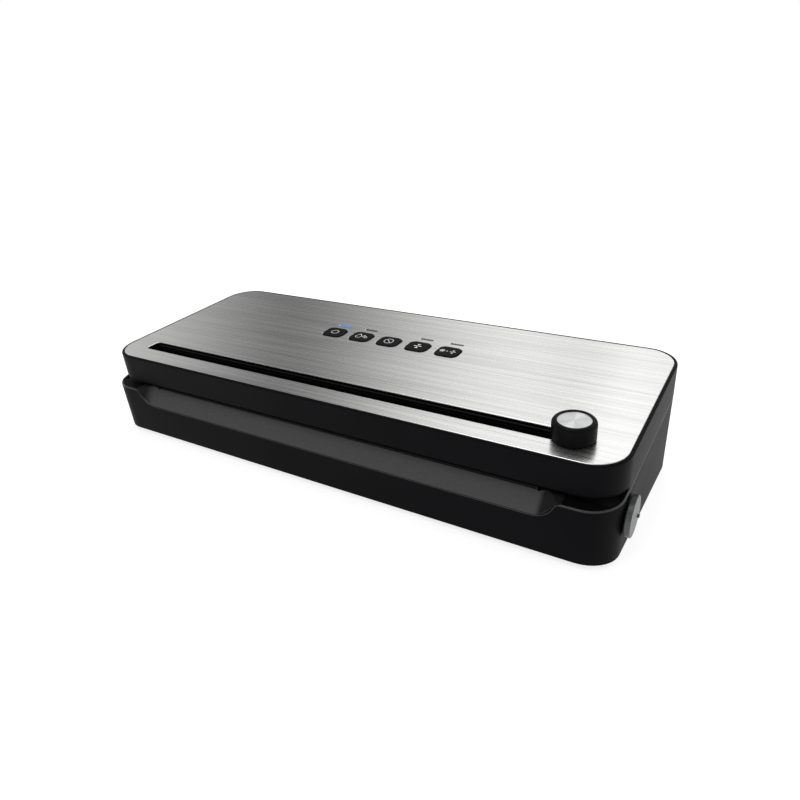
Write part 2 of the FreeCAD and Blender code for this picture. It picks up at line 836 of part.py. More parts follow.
def transformer_coil():
    window = (core_length - 2 * core_leg) / 2
    yoke = core_leg / 2
    half = core_depth / 2
    x0 = core_x + yoke + coil_fit
    x1 = core_x + core_length - yoke - coil_fit
    z0 = floor + yoke + coil_fit
    z1 = floor + core_height - yoke - coil_fit
    outer = bar(x0, x1, motor_y - half - coil_bulge, motor_y + half + coil_bulge, z0, z1)
    inner = bar(x0 + window - 2 * coil_fit, x1 - window + 2 * coil_fit, motor_y - half - coil_fit,
                motor_y + half + coil_fit, z0 - past, z1 + past)
    return outer.cut(inner)


def main_standoffs():
    reach = main_half - standoff_inset
    rows = (main_y0 + standoff_inset, main_y1 - standoff_inset)
    places = [(main_x + s * reach, y) for s in sides for y in rows]
    return Part.makeCompound([post(standoff_radius, x, y, floor, main_z) for x, y in places])


def main_board():
    return bar(main_x - main_half, main_x + main_half, main_y0, main_y1, main_z, main_z + board_thick)


def board_components():
    top = main_z + board_thick
    middle = main_y0 + main_depth / 2
    solids = []
    x = main_x - main_half + part_gap + capacitor_radius
    for _ in range(3):
        solids.append(post(capacitor_radius, x, middle, top, top + capacitor_height))
        x += 2 * capacitor_radius + part_gap
    for _ in range(2):
        solids.append(bar(x, x + relay_length, middle - relay_width / 2, middle + relay_width / 2,
                          top, top + relay_height))
        x += relay_length + part_gap
    return Part.makeCompound(solids)


def lock_shaft():
    return rod(shaft_radius, shaft_start, shaft_end, lock_y, lock_z)


def lock_claws():
    solids = []
    half = claw_thick / 2
    for x in hook_places:
        hub = rod(claw_radius, x - half, x + half, lock_y, lock_z)
        arm = bar(x - half, x + half, lock_y - claw_height / 2, lock_y + claw_height / 2,
                  lock_z, lock_z + claw_length)
        bore = rod(shaft_radius + shaft_clear / 2, x - half - past, x + half + past, lock_y, lock_z)
        solids.append(hub.fuse(arm).removeSplitter().cut(bore))
    return Part.makeCompound(solids)


def lock_knob():
    face = lid_half + lock_knob_gap
    outside = face + lock_knob_thick
    disc = rod(lock_knob_radius, face, outside, lock_y, lock_z)
    rims = [e for e in disc.Edges if e.BoundBox.XLength < past / 10]
    disc = disc.makeFillet(lock_knob_round, rims)
    pip_end = lock_y + lock_knob_radius - lock_pip_edge
    pip = bar(face, outside + lock_pip_height, pip_end - lock_pip_length, pip_end,
              lock_z - lock_pip_width / 2, lock_z + lock_pip_width / 2)
    pip.rotate(Vector(0, lock_y, lock_z), Vector(1, 0, 0), lock_pip_angle)
    hub = rod(hub_radius, face - hub_length, face + past, lock_y, lock_z)
    bore = rod(shaft_radius + shaft_clear / 2, face - hub_length - past, shaft_end, lock_y, lock_z)
    return fused([disc, pip, hub]).cut(bore)


def lock_switches():
    solids = []
    low = lock_z - shaft_radius - bearing_wall
    top = low + limit_height
    y0 = lock_y + shaft_radius + bearing_wall
    lever_y = y0 + (limit_length - limit_lever_length) / 2
    for x in (bearing_places[0], bearing_places[-1]):
        body = bar(x - limit_width / 2, x + limit_width / 2, y0, y0 + limit_length, low, top)
        lever = bar(x - limit_lever_width / 2, x + limit_lever_width / 2, lever_y, lever_y + limit_lever_length,
                    top, top + limit_lever_thick)
        solids.append(body.fuse(lever))
    return Part.makeCompound(solids)


def hinge_pins():
    pins = [rod(pin_radius, x - pin_half, x + pin_half, hinge_y, hinge_z) for x in hinge_places]
    return Part.makeCompound(pins)


def inlet_shape(half_x, half_z, y0, y1):
    shape = bar(inlet_x - half_x, inlet_x + half_x, y0, y1, -inlet_drop - half_z, -inlet_drop + half_z)
    return shape.makeFillet(half_z / 2, [e for e in shape.Edges if e.BoundBox.YLength > past / 2])


def inlet_face():
    return lid_back + slope * (inlet_height / 2 - inlet_drop + parting_drop)


def mains_inlet():
    back = inlet_face()
    half_x = inlet_width / 2
    half_z = inlet_height / 2
    flange = inlet_shape(half_x, half_z, back, back + inlet_flange)
    body = inlet_shape(half_x - inlet_lip, half_z - inlet_lip, back - inlet_depth, back + past)
    pocket = inlet_shape(half_x - inlet_wall, half_z - inlet_wall, back - inlet_depth + inlet_lip,
                         back + inlet_flange + past)
    return fused([flange, body]).cut(pocket)


def inlet_prongs():
    start = inlet_face() - inlet_depth + inlet_lip
    solids = []
    for s in sides:
        foot = Vector(inlet_x + s * prong_spacing / 2, start, -inlet_drop)
        solids.append(Part.makeCylinder(prong_radius, inlet_depth - 2 * inlet_lip, foot, Vector(0, 1, 0)))
    return Part.makeCompound(solids)


def mouth_cheeks():
    window = ramp_window(-cheek_thick, base_front, ramp_back, 0.0)
    shelf = bar(-lid_half, lid_half, base_front, ramp_back, -parting_drop - shelf_thick, -parting_drop)
    ends = [bar(-lid_half, -mouth_flat, base_front, ramp_back, base_low, -parting_drop),
            bar(mouth_flat, lid_half, base_front, ramp_back, base_low, -parting_drop)]
    inside = base_block(base_wall - wall_bite, base_low, -parting_drop)
    return fused([shelf, window.common(Part.makeCompound(ends))]).common(inside)


def base_housing():
    outer = base_block(0.0, base_low, -parting_drop)
    outer = outer.makeFillet(rim_round, edges_at(outer, -parting_drop))
    inner = base_block(base_wall, base_low - past, past - parting_drop)
    ledge = base_block(base_wall - wall_bite, deck_low - ledge_thick, deck_low)
    ledge = ledge.cut(base_block(base_wall + side_ledge, deck_low - ledge_thick - past, deck_low + past))
    ledge = ledge.common(bar(-lid_half, lid_half, ramp_back + deck_thick + past, deck_back, base_low, 0.0))
    added = [outer.cut(inner), ledge, mouth_cheeks()]
    for x0, x1 in outer_knuckles():
        added.append(rod(hinge_radius, x0, x1, hinge_y, hinge_z))
        added.append(bar(x0, x1, lid_back - base_wall, hinge_y, hinge_z - hinge_radius,
                         -parting_drop - rim_round))
    boss_low = deck_low - deck_boss_height
    for x, y in deck_screw_places:
        wall = math.copysign(lid_half - base_wall, x)
        added.append(post(deck_boss_radius, x, y, boss_low, deck_low))
        added.append(bar(min(x, wall), max(x, wall), y - web_thick / 2, y + web_thick / 2, boss_low, deck_low))
    half_x = inlet_width / 2 - inlet_lip + inlet_fit
    half_z = inlet_height / 2 - inlet_lip + inlet_fit
    cuts = [ramp_window(0.0, base_front - past, ramp_back + past, 0.0)]
    cuts.append(inlet_shape(half_x, half_z, lid_back - inlet_depth, lid_back + past))
    cuts.append(rod(hub_radius + hub_clear, lid_half - 2 * base_wall, lid_half + past, lock_y, lock_z))
    half = knuckle_length / 2 + knuckle_side_clear
    for x in hinge_places:
        cuts.append(rod(hinge_reach, x - half, x + half, hinge_y, hinge_z))
        cuts.append(rod(pin_radius + pin_clear, x - pin_half, x + pin_half, hinge_y, hinge_z))
    cuts += [post(screw_radius, x, y, boss_low + past, deck_low + past) for x, y in deck_screw_places]
    shell = to_table(fused(added).cut(cuts))
    shell = shell.cut(bar(-lid_width, lid_width, -lid_width, lid_width, -lid_width, foot_height))
    boss_top = floor + cover_boss_height
    pillars = []
    for x, y in cover_screw_places:
        wall = x + math.copysign(cover_boss_radius + cover_boss_gap + wall_bite, x)
        pillars.append(post(cover_boss_radius, x, y, floor, boss_top))
        pillars.append(bar(min(x, wall), max(x, wall), y - web_thick / 2, y + web_thick / 2, floor, boss_top))
    shell = fused([shell] + pillars)
    return shell.cut([post(screw_radius, x, y, 0.0, boss_top - past) for x, y in cover_screw_places])


def bottom_cover():
    inner = to_table(base_block(base_wall + cover_fit, base_low - past, lock_z))
    sheet = inner.common(bar(-lid_width, lid_width, -lid_width, lid_width, foot_height, floor))
    cuts = [post(stud_radius + stud_clear, x, y, 0.0, floor + past) for x, y in foot_places]
    for x, y in cover_screw_places:
        cuts.append(post(screw_head_radius + head_hole_clear, x, y, 0.0, foot_height + screw_head))
        cuts.append(post(screw_radius + screw_hole_clear, x, y, 0.0, floor + past))
    vent_back = motor_y - vent_gap
    for i in range(vent_count):
        x = pump_end + motor_length / 2 + (i - (vent_count - 1) / 2) * vent_pitch
        cuts.append(block(vent_width / 2, vent_back - vent_length, vent_back, vent_width / 2, 0.0,
                          floor + past, x))
    return sheet.cut(cuts)


def rubber_feet():
    solids = []
    for x, y in foot_places:
        pad = Part.makeCone(foot_radius - foot_taper, foot_radius, foot_height, Vector(x, y, 0.0),
                            Vector(0, 0, 1))
        solids.append(pad.fuse(post(stud_radius, x, y, foot_height, floor)))
    return Part.makeCompound(solids)


def seal_bar():
    half_y = seal_width / 2
    return bar(-seal_half_length, seal_half_length, seal_row - half_y, seal_row + half_y,
               deck_top - seal_depth, deck_top)


def heating_strip():
    half = seal_half_length - strip_end
    return bar(-half, half, seal_row - strip_width / 2, seal_row + strip_width / 2, deck_top,
               deck_top + strip_thick)


def seal_tape():
    half_y = seal_width / 2 + tape_margin
    half = seal_half_length + tape_margin
    return bar(-half, half, seal_row - half_y, seal_row + half_y, deck_top + strip_thick, tape_top)


sloped = {
    "lid_shell": lid_shell(),
    "top_plate": top_plate(),
    "cutter_track": cutter_track(),
    "cutter_knob": cutter_knob(),
    "knob_disc": knob_disc(),
    "cutter_carriage": cutter_carriage(),
    "cutter_blade": cutter_blade(),
    "tact_switches": tact_switches(),
    "control_board": control_board(),
    "board_screws": screws(board_screw_places, board_top - board_thick, board_screw_length, True),
    "power_light": light_bar(light_places[0]),
    "mode_lights": Part.makeCompound([light_bar(x) for x in light_places[1:]]),
    "lid_panel": lid_panel(),
    "panel_screws": screws(panel_screw_places, panel_low + screw_head, panel_screw_length, True),
    "press_rubber": press_rubber(),
    "upper_gasket": gasket_ring(lower_gasket_top + seal_gap, panel_low + gasket_seat),
    "lid_hooks": lid_hooks(),
    "lower_deck": lower_deck(),
    "deck_screws": screws(deck_screw_places, deck_top - screw_head - screw_sink, deck_screw_length, False),
    "lower_gasket": gasket_ring(deck_top - gasket_seat, lower_gasket_top),
    "seal_bar": seal_bar(),
    "heating_strip": heating_strip(),
    "seal_tape": seal_tape(),
    "suction_nozzle": suction_nozzle(),
    "lock_shaft": lock_shaft(),
    "lock_claws": lock_claws(),
    "lock_knob": lock_knob(),
    "lock_switches": lock_switches(),
    "hinge_pins": hinge_pins(),
    "mains_inlet": mains_inlet(),
    "inlet_prongs": inlet_prongs(),
}
button_names = ("power_button", "moisture_button", "stop_button", "seal_button", "vacuum_button")
for name, x in zip(button_names, button_places):
    sloped[name] = button(x)

parts = {name: to_table(shape) for name, shape in sloped.items()}
parts["base_housing"] = base_housing()
parts["bottom_cover"] = bottom_cover()
parts["cover_screws"] = screws(cover_screw_places, foot_height + screw_head, cover_screw_length, True)
parts["rubber_feet"] = rubber_feet()
parts["suction_hose"] = suction_hose()
parts["pump_head"] = pump_head()
parts["pump_motor"] = pump_motor()
parts["pump_bracket"] = pump_bracket()
parts["transformer_core"] = transformer_core()
parts["transformer_coil"] = transformer_coil()
parts["main_standoffs"] = main_standoffs()
parts["main_board"] = main_board()
parts["board_components"] = board_components()

# The origin goes below the middle of the whole outline
whole = Part.makeCompound(list(parts.values())).optimalBoundingBox(False, False)
shift = Vector(-whole.Center.x, -whole.Center.y, -whole.ZMin)
os.makedirs("parts", exist_ok=True)
for name, shape in parts.items():
    shape.translate(shift)
    shape.exportStep("parts/" + name + ".step")

hinge_point = Vector(0, table_y(hinge_y, hinge_z), table_z(hinge_y, hinge_z)) + shift
lock_point = Vector(0, table_y(lock_y, lock_z), table_z(lock_y, lock_z)) + shift
print("parts", len(parts), "size", [round(v, 2) for v in (whole.XLength, whole.YLength, whole.ZLength)])
print("hinge at", [round(v, 3) for v in hinge_point], "lock at", [round(v, 3) for v in lock_point])
print("shift", [round(v, 3) for v in shift], "lift", round(lift, 3), "knob x", round(knob_x, 3))
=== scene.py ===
import json
import math

import bpy
from mathutils import Matrix, Vector

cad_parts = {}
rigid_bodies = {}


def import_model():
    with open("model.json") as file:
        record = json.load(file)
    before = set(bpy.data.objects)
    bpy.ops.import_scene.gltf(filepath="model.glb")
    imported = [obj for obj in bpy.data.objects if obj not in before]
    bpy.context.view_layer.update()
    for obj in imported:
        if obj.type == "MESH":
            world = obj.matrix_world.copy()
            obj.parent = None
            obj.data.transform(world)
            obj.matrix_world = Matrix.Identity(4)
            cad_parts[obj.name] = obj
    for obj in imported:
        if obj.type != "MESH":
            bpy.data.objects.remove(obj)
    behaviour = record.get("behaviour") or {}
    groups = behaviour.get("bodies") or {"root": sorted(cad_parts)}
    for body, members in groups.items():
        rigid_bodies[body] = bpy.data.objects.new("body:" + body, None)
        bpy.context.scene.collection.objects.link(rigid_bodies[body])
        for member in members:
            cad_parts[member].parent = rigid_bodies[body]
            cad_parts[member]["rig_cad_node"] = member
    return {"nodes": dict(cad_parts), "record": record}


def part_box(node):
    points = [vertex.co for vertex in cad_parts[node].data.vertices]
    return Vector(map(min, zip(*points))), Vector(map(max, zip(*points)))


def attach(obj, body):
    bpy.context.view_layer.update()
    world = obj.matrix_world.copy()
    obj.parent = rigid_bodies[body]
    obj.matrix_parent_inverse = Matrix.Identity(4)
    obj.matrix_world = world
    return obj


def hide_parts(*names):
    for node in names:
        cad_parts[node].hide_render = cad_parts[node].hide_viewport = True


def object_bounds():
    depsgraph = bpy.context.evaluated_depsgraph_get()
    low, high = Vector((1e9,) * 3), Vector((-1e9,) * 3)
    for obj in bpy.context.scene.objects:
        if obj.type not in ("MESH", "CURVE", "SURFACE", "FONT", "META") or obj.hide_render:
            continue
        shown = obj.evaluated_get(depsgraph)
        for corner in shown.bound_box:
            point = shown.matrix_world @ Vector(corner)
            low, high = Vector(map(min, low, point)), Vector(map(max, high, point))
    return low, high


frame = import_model()
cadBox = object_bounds()
nodes = frame["nodes"]
bodyOf = {node: body for body, members in frame["record"]["behaviour"]["bodies"].items() for node in members}
mm = 0.001
print("frame loaded,", len(nodes), "CAD nodes")

# The plate and all on it lie tilted. They are drawn level in the plate's own frame, in mm, and turned by this.
plateTilt = {"degrees": 8.03, "offsetMm": (-2.55, -3.829, 73.707)}
plateFrame = Matrix.Translation(Vector(plateTilt["offsetMm"]) * mm) @ Matrix.Rotation(
    math.radians(plateTilt["degrees"]), 4, "X")


def linear(hexColour):
    channels = [int(hexColour[i:i + 2], 16) / 255 for i in (1, 3, 5)]
    return [c / 12.92 if c <= 0.04045 else ((c + 0.055) / 1.055) ** 2.4 for c in channels] + [1.0]


def perMm(size):
    return 1 / (size * mm)  # the texture scale whose features are this many mm


def addNode(tree, kind, inputs=(), **settings):
    made = tree.nodes.new(kind)
    for key, value in settings.items():
        setattr(made, key, value)
    for socket, value in dict(inputs).items():
        if isinstance(value, bpy.types.NodeSocket):
            tree.links.new(value, made.inputs[socket])
        else:
            made.inputs[socket].default_value = value
    return made


def objectPlace(tree):
    return addNode(tree, "ShaderNodeTexCoord").outputs["Object"]


def stretched(tree, place, scale):
    return addNode(tree, "ShaderNodeMapping", {"Vector": place, "Scale": scale}).outputs[0]


def noise(tree, place, sizeMm, detail, roughness=0.5):
    return addNode(tree, "ShaderNodeTexNoise", {
        "Vector": place, "Scale": perMm(sizeMm), "Detail": detail, "Roughness": roughness}).outputs["Fac"]


def combine(tree, first, second, operation):
    return addNode(tree, "ShaderNodeMath", {0: first, 1: second}, operation=operation).outputs[0]


def remap(tree, value, fromRange=(0, 1), toRange=(0, 1)):
    return addNode(tree, "ShaderNodeMapRange", {
        "Value": value, "From Min": fromRange[0], "From Max": fromRange[1],
        "To Min": toRange[0], "To Max": toRange[1]}).outputs[0]


def shadeBetween(tree, factor, dark, light):
    ends = [linear(c) if isinstance(c, str) else c for c in (dark, light)]
    return addNode(tree, "ShaderNodeMix", {0: factor, 6: ends[0], 7: ends[1]}, data_type="RGBA").outputs[2]


def relief(tree, height, strength, depthMm):
    return addNode(tree, "ShaderNodeBump", {
        "Height": height, "Strength": strength, "Distance": depthMm * mm}).outputs[0]


def wire(tree, surface, **outputs):
    for key, output in outputs.items():
        tree.links.new(output, surface.inputs[key.replace("_", " ")])


def newFinish(name, **values):
    finish = bpy.data.materials.new(name)
    finish.use_nodes = True
    surface = finish.node_tree.nodes["Principled BSDF"]
    for key, value in values.items():
        surface.inputs[key.replace("_", " ")].default_value = value
    return finish, finish.node_tree, surface


def pick(piece):
    bpy.ops.object.select_all(action="DESELECT")
    piece.select_set(True)
    bpy.context.view_layer.objects.active = piece


# Camera at the photograph's place
camera = {"place": (0.245344, -0.381921, 0.216282), "turn": (68.32, 0, 30.95),
          "lens": 29.591, "sensor": 36, "clip": (0.01, 200)}
bpy.ops.object.camera_add(location=camera["place"], rotation=[math.radians(a) for a in camera["turn"]])
eye = bpy.context.object
eye.name = "photoCamera"
eye.data.sensor_width = camera["sensor"]
eye.data.lens = camera["lens"]
eye.data.clip_start, eye.data.clip_end = camera["clip"]
bpy.context.scene.camera = eye

# White paper floor, wide enough to reach the skyline
studioFloor = {"size": 80, "colour": "#a8a8a8", "glow": 0.8}
bpy.ops.object.select_all(action="DESELECT")
bpy.ops.mesh.primitive_plane_add(size=studioFloor["size"], location=(0, 0, cadBox[0].z))
floor = bpy.context.object
floor.name = "studioFloor"
paper, tree, surface = newFinish("whiteStudioPaper", Roughness=0.95, Specular_IOR_Level=0.0)
surface.inputs["Base Color"].default_value = linear(studioFloor["colour"])
surface.inputs["Emission Color"].default_value = linear("#ffffff")
surface.inputs["Emission Strength"].default_value = studioFloor["glow"]
floor.data.materials.append(paper)

# A white tent round the object, whose cloth is grey in stripes along X: a dark one left of the middle, which the
# plate mirrors, with a bright one beside it. The camera itself sees plain white.
tent = {"strength": 0.62, "sky": 1.0,
        "greys": ((0.0, 1.25), (0.11, 1.2), (0.15, 0.62), (0.175, 0.26), (0.195, 0.24), (0.22, 0.44), (0.25, 0.82),
                  (0.3, 1.5), (0.34, 1.8), (0.39, 1.4), (0.43, 0.98), (0.5, 0.74), (0.6, 0.88), (0.72, 1.15),
                  (0.82, 1.1), (1.0, 0.7))}
studio = bpy.data.worlds.new("whiteTent")
bpy.context.scene.world = studio
studio.use_nodes = True
tree = studio.node_tree
tree.nodes.clear()
way = addNode(tree, "ShaderNodeTexCoord")
parts = addNode(tree, "ShaderNodeSeparateXYZ", {0: way.outputs["Generated"]})
along = remap(tree, parts.outputs["X"], fromRange=(-1, 1))
walls = addNode(tree, "ShaderNodeValToRGB", {0: along})
for place, _ in tent["greys"][1:-1]:
    walls.color_ramp.elements.new(place)
for stop, (place, grey) in zip(walls.color_ramp.elements, tent["greys"]):
    stop.position = place
    stop.color = (grey, grey, grey, 1)
cloth = addNode(tree, "ShaderNodeBackground", {"Color": walls.outputs[0], "Strength": tent["strength"]})
sky = addNode(tree, "ShaderNodeBackground", {"Color": (1, 1, 1, 1), "Strength": tent["sky"]})
rays = addNode(tree, "ShaderNodeLightPath")
mixed = addNode(tree, "ShaderNodeMixShader", {
    0: rays.outputs["Is Camera Ray"], 1: cloth.outputs[0], 2: sky.outputs[0]})
addNode(tree, "ShaderNodeOutputWorld", {"Surface": mixed.outputs[0]})

softBoxes = {
    "topBox": {"place": (-0.15, -0.05, 1.2), "aim": (-0.05, 0, 0), "size": (1.5, 0.5), "watts": 4.5},
    "backBox": {"place": (0.35, 1.1, 1.3), "aim": (0, 0, 0), "size": (1.3, 1.0), "watts": 3.5},
    "rightBox": {"place": (1.5, 0.2, 0.8), "aim": (0.1, 0, 0.03), "size": (0.9, 0.9), "watts": 1.2},
}
for name, box in softBoxes.items():
    bpy.ops.object.light_add(type="AREA", location=box["place"])
    lamp = bpy.context.object
    lamp.name = name
    lamp.data.shape = "RECTANGLE"
    lamp.data.size, lamp.data.size_y = box["size"]
    lamp.data.energy = box["watts"]
    lamp.rotation_euler = (Vector(box["aim"]) - Vector(box["place"])).to_track_quat("-Z", "Y").to_euler()

bpy.context.scene.view_settings.view_transform = "Standard"
print("camera, floor and light set")


def mouldedPlastic(name, dark, light, roughness, grainMm, grainDepth, specular=0.05):
    # ABS or nylon from a spark-eroded mould: satin, with a fine even grain and a slight drift in shade.
    # The real grain is near 0.1 mm, drawn coarser so that it shows.
    mould = {"detail": 3.0, "roughness": 0.6, "driftMm": 45, "driftDetail": 2.0, "spread": (0.6, 1.4),
             "glossRange": 0.07, "reliefMm": 0.05}
    finish, tree, surface = newFinish(name, Specular_IOR_Level=specular)
    place = objectPlace(tree)
    grain = noise(tree, place, grainMm, mould["detail"], mould["roughness"])
    drift = noise(tree, place, mould["driftMm"], mould["driftDetail"])
    spread = remap(tree, combine(tree, grain, drift, "ADD"), fromRange=mould["spread"])
    gloss = (roughness - mould["glossRange"], roughness + mould["glossRange"])
    wire(tree, surface, Base_Color=shadeBetween(tree, spread, dark, light),
         Roughness=remap(tree, grain, toRange=gloss), Normal=relief(tree, grain, grainDepth, mould["reliefMm"]))
    return finish


def softRubber(name, dark, light, roughness, poreMm, poreDepth):
    # silicone, rubber or foam: matt, with small pores and a dusty bloom
    soft = {"specular": 0.25, "bloomMm": 12, "bloomDetail": 4.0, "glossRange": 0.08, "reliefMm": 0.2}
    finish, tree, surface = newFinish(name, Specular_IOR_Level=soft["specular"])
    place = objectPlace(tree)
    pores = addNode(tree, "ShaderNodeTexVoronoi", {"Vector": place, "Scale": perMm(poreMm)}).outputs["Distance"]
    bloom = noise(tree, place, soft["bloomMm"], soft["bloomDetail"])
    gloss = (roughness - soft["glossRange"], roughness + soft["glossRange"])
    wire(tree, surface, Base_Color=shadeBetween(tree, bloom, dark, light),
         Roughness=remap(tree, bloom, toRange=gloss), Normal=relief(tree, pores, poreDepth, soft["reliefMm"]))
    return finish


def workedMetal(name, dark, light, roughness, markMm, stretch, metallic=1.0):
    # drawn, rolled or plated metal: fine marks along the way it was worked
    worked = {"detail": 4.0, "roughness": 0.65, "glossRange": 0.1, "relief": 0.1, "reliefMm": 0.03}
    finish, tree, surface = newFinish(name, Metallic=metallic)
    marks = noise(tree, stretched(tree, objectPlace(tree), stretch), markMm, worked["detail"], worked["roughness"])
    gloss = (roughness - worked["glossRange"], roughness + worked["glossRange"])
    wire(tree, surface, Base_Color=shadeBetween(tree, marks, dark, light),
         Roughness=remap(tree, marks, toRange=gloss),
         Normal=relief(tree, marks, worked["relief"], worked["reliefMm"]))
    return finish


housingAbs = mouldedPlastic("satinBlackAbs", "#070608", "#0e0c0f", 0.5, 0.7, 0.1, 0.036)
# The rim's finish is glossier than the housing, which gives real highlights from the lamps, and lighter in colour,
# which paints a highlight on the rounded rim.
rimPaintedHighlightAbs = mouldedPlastic("glossyRimPaintedHighlightAbs", "#1a191b", "#262527", 0.36, 0.7, 0.05, 0.5)
lidAbs = mouldedPlastic("satinBlackLidAbs", "#070608", "#0e0c0f", 0.48, 0.7, 0.1, 0.043)
trackAbs = mouldedPlastic("slickBlackAcetal", "#070708", "#0d0d0e", 0.42, 0.6, 0.06)
knobAbs = mouldedPlastic("satinKnobAbs", "#050505", "#0a0a0a", 0.42, 0.5, 0.05, 0.07)
buttonAbs = mouldedPlastic("mattButtonAbs", "#0f0f10", "#181819", 0.55, 0.5, 0.08)
innerAbs = mouldedPlastic("mattInnerAbs", "#161617", "#212123", 0.55, 0.8, 0.12, 0.2)
hookAbs = mouldedPlastic("blackNylon", "#141416", "#1d1d20", 0.5, 0.8, 0.1)
pumpAbs = mouldedPlastic("creamPumpNylon", "#b7b1a2", "#c9c4b6", 0.5, 0.8, 0.15, 0.4)
smokedLens = mouldedPlastic("smokedLensAcrylic", "#2c2c2d", "#383839", 0.22, 1.5, 0.02, 0.7)
sealRubber = softRubber("greySilicone", "#6b6a68", "#83827f", 0.6, 1.2, 0.1)
gasketFoam = softRubber("blackGasketFoam", "#262627", "#373738", 0.85, 0.5, 0.5)
footRubber = softRubber("blackFootRubber", "#161616", "#242424", 0.75, 0.8, 0.2)
hoseSilicone = softRubber("paleSiliconeTube", "#c6c6bf", "#dcdcd6", 0.35, 2.0, 0.05)
coilTape = softRubber("yellowCoilTape", "#b8892c", "#d2a648", 0.45, 3.0, 0.1)
barAluminium = workedMetal("extrudedAluminium", "#9c9d9f", "#c2c3c5", 0.38, 0.8, (0.04, 1, 1))
stripNichrome = workedMetal("rolledNichrome", "#7d7871", "#a09a91", 0.4, 0.8, (0.05, 1, 1))
bladeSteel = workedMetal("groundBladeSteel", "#b4b6b9", "#d4d6d8", 0.28, 0.4, (0.05, 1, 1))
motorSteel = workedMetal("platedMotorSteel", "#8e9194", "#b0b2b4", 0.36, 0.9, (1, 1, 0.05))
shaftSteel = workedMetal("drawnShaftSteel", "#86898c", "#aeb0b2", 0.3, 0.7, (0.05, 1, 1))
coreIron = workedMetal("lacqueredCoreIron", "#3c3b3a", "#5d5b58", 0.5, 0.6, (1, 1, 0.06))
screwSteel = workedMetal("zincScrewSteel", "#9b9c9a", "#c3c4c1", 0.36, 0.6, (1, 1, 1))
prongBrass = workedMetal("nickelBrass", "#a9935c", "#cdb678", 0.32, 0.6, (0.1, 1, 1))
lockPaint = workedMetal("satinGreyMetalPaint", "#464748", "#575859", 0.36, 0.6, (1, 1, 1), 0.6)
print("plain finishes made")


def brushedStainless():
    # stainless sheet brushed lengthways: long fine streaks, and highlights that spread across them.
    # The real lines are near 0.1 mm apart, drawn at 1.1 mm so that they show.
    fine = {"sizeMm": 1.1, "stretch": (0.009, 1, 1), "detail": 1.0, "share": 0.65}
    broad = {"sizeMm": 2.5, "stretch": (0.02, 1, 1), "detail": 1.5, "share": 0.35}
    sheet = {"spread": (0.26, 0.72), "dark": "#c6c6c5", "light": "#e6e6e5", "gloss": (0.24, 0.3),
             "relief": 0.012, "reliefMm": 0.03}
    finish, tree, surface = newFinish("brushedStainless", Metallic=1.0, Anisotropic=0.5, Anisotropic_Rotation=0.25)
    place = objectPlace(tree)
    layers = [combine(tree, noise(tree, stretched(tree, place, lines["stretch"]), lines["sizeMm"], lines["detail"]),
                      lines["share"], "MULTIPLY") for lines in (fine, broad)]
    streak = combine(tree, *layers, "ADD")
    spread = remap(tree, streak, fromRange=sheet["spread"])
    lengthways = addNode(tree, "ShaderNodeTangent", direction_type="UV_MAP").outputs[0]
    wire(tree, surface, Base_Color=shadeBetween(tree, spread, sheet["dark"], sheet["light"]),
         Roughness=remap(tree, spread, toRange=sheet["gloss"]),
         Normal=relief(tree, streak, sheet["relief"], sheet["reliefMm"]), Tangent=lengthways)
    return finish


def spunAluminium(centre):
    # aluminium disc faced on a lathe: rings that fan the light, drawn at half a millimetre so that they show
    disc = {"ringMm": 0.5, "detail": 1.0, "dark": "#b4b5b6", "light": "#cfcfd0", "gloss": (0.28, 0.33),
            "relief": 0.03, "reliefMm": 0.03}
    finish, tree, surface = newFinish("spunAluminium", Metallic=1.0, Anisotropic=0.85, Anisotropic_Rotation=0.25)
    middle = addNode(tree, "ShaderNodeMapping", {"Vector": objectPlace(tree), "Location": [-c for c in centre]})
    radius = addNode(tree, "ShaderNodeVectorMath", {0: middle.outputs[0]}, operation="LENGTH")
    rings = addNode(tree, "ShaderNodeTexNoise", {
        "W": radius.outputs["Value"], "Scale": perMm(disc["ringMm"]), "Detail": disc["detail"]},
        noise_dimensions="1D").outputs["Fac"]
    turning = addNode(tree, "ShaderNodeTangent", direction_type="RADIAL", axis="Z").outputs[0]
    wire(tree, surface, Base_Color=shadeBetween(tree, rings, disc["dark"], disc["light"]),
         Roughness=remap(tree, rings, toRange=disc["gloss"]),
         Normal=relief(tree, rings, disc["relief"], disc["reliefMm"]), Tangent=turning)
    return finish


def coatedTape():
    # glass cloth coated in brown PTFE: a plain weave of threads near 1 mm, slightly waxy
    cloth = {"waveMm": 6.3, "dark": "#6f4f2b", "light": "#92703f", "relief": 0.3, "reliefMm": 0.05}
    finish, tree, surface = newFinish("brownGlassClothTape", Roughness=0.48)
    place = objectPlace(tree)
    warp, weft = [addNode(tree, "ShaderNodeTexWave", {"Vector": place, "Scale": perMm(cloth["waveMm"])},
                          wave_type="BANDS", bands_direction=way).outputs["Fac"] for way in "XY"]
    weave = combine(tree, warp, weft, "MULTIPLY")
    wire(tree, surface, Base_Color=shadeBetween(tree, weave, cloth["dark"], cloth["light"]),
         Normal=relief(tree, weave, cloth["relief"], cloth["reliefMm"]))
    return finish


def circuitBoard():
    # glass-epoxy board under green solder mask, with copper tracks every 2.5 mm showing through
    board = {"trackMm": (9.0, 2.5, 0.25), "mask": ("#155a34", "#186239"), "track": "#2c8a52",
             "relief": 0.2, "reliefMm": 0.04}
    finish, tree, surface = newFinish("greenSolderMask", Roughness=0.4)
    length, pitch, width = board["trackMm"]
    tracks = addNode(tree, "ShaderNodeTexBrick", {
        "Vector": objectPlace(tree), "Scale": perMm(1), "Brick Width": length, "Row Height": pitch,
        "Mortar Size": width, "Color1": linear(board["mask"][0]), "Color2": linear(board["mask"][1]),
        "Mortar": linear(board["track"])})
    wire(tree, surface, Base_Color=tracks.outputs["Color"],
         Normal=relief(tree, tracks.outputs["Fac"], board["relief"], board["reliefMm"]))
    return finish


